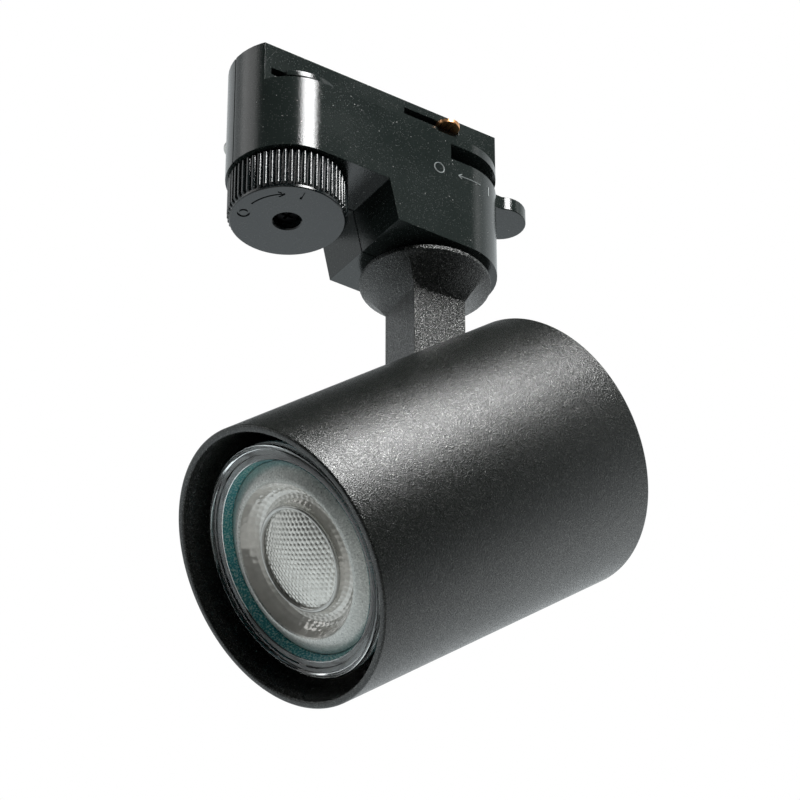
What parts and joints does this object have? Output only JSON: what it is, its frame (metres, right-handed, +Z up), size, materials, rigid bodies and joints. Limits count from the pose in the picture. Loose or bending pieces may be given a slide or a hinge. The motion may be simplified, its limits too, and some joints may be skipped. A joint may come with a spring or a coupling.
{
  "type": "track spotlight",
  "caption": "Museum track spotlight: a single-circuit track adapter with a lock knob and contact lever, a swivel arm, and a tilting tube with a GU10 lamp.",
  "frame": {"origin": "centre of the adapter rail's flat top face, where it meets the inside of the track", "axes": "+Z up out of the rail's top face; +X along the rail from the lock knob to the contact lever; +Y to the side that the housing screws enter from"},
  "size_m": [0.0983, 0.0656, 0.1459],
  "materials": {
    "housing": "moulded black, semi-gloss",
    "knob": "moulded black, ribbed",
    "powder_coat": "fine textured black powder coat",
    "steel": "zinc plated",
    "copper": "bare sprung copper alloy",
    "nylon": "black nylon",
    "ceramic": "white, unglazed",
    "lamp_glass": "moulded lamp glass",
    "lamp_lens": "frosted, pebbled centre",
    "board": "white solder mask",
    "wire_brown": "brown insulation",
    "wire_blue": "blue insulation"
  },
  "bodies": {
    "adapter": {"housing_near": "housing", "housing_far": "housing", "housing_screw_1": "steel", "housing_screw_2": "steel", "housing_screw_3": "steel"},
    "lock": {"lock_knob": "knob", "lock_tab": "housing", "knob_screw": "steel", "lock_spring_washer": "steel"},
    "contact_rotor": {"contact_lever": "housing", "contact_near": "copper", "contact_far": "copper"},
    "arm": {"swivel_arm": "powder_coat", "swivel_nipple": "steel", "swivel_nut": "steel", "swivel_washer": "steel", "swivel_spacer": "nylon", "arm_wire_live": "wire_brown", "arm_wire_neutral": "wire_blue"},
    "head": {"spot_tube": "powder_coat", "tilt_bracket": "steel", "rear_cap": "powder_coat", "rear_cap_screw_1": "steel", "rear_cap_screw_2": "steel", "bracket_screw_1": "steel", "bracket_screw_2": "steel", "lampholder": "ceramic", "lampholder_screw_1": "steel", "lampholder_screw_2": "steel", "tilt_bolt": "steel", "tilt_nut": "steel", "friction_washer_1": "nylon", "friction_washer_2": "nylon", "holder_lead_live": "wire_brown", "holder_lead_neutral": "wire_blue"},
    "lamp": {"lamp_body": "lamp_glass", "lamp_lens": "lamp_lens", "lamp_board": "board", "lamp_base": "ceramic", "lamp_pin_1": "steel", "lamp_pin_2": "steel"}
  },
  "joints": [
    {"name": "lock_knob_turn", "type": "hinge", "parent": "adapter", "child": "lock", "pos_m": [-0.019, 0, -0.0335], "axis": [0, 0, -1], "range_deg": [0, 90]},
    {"name": "contact_lever_turn", "type": "hinge", "parent": "adapter", "child": "contact_rotor", "pos_m": [0.019, 0, -0.0142], "axis": [0, 0, -1], "range_deg": [0, 90]},
    {"name": "pan", "type": "hinge", "parent": "adapter", "child": "arm", "pos_m": [0.0163, 0, -0.0409], "axis": [0, 0, 1], "range_deg": [-175, 175]},
    {"name": "tilt", "type": "hinge", "parent": "arm", "child": "head", "pos_m": [0.0163, 0, -0.0705], "axis": [-0.0924, -0.9957, 0], "range_deg": [-36.8, 53.2]},
    {"name": "lamp_twist", "type": "hinge", "parent": "head", "child": "lamp", "pos_m": [0.02883, -0.00116, -0.08731], "axis": [-0.7971, 0.0739, -0.5993], "range_deg": [0, 40]}
  ]
}
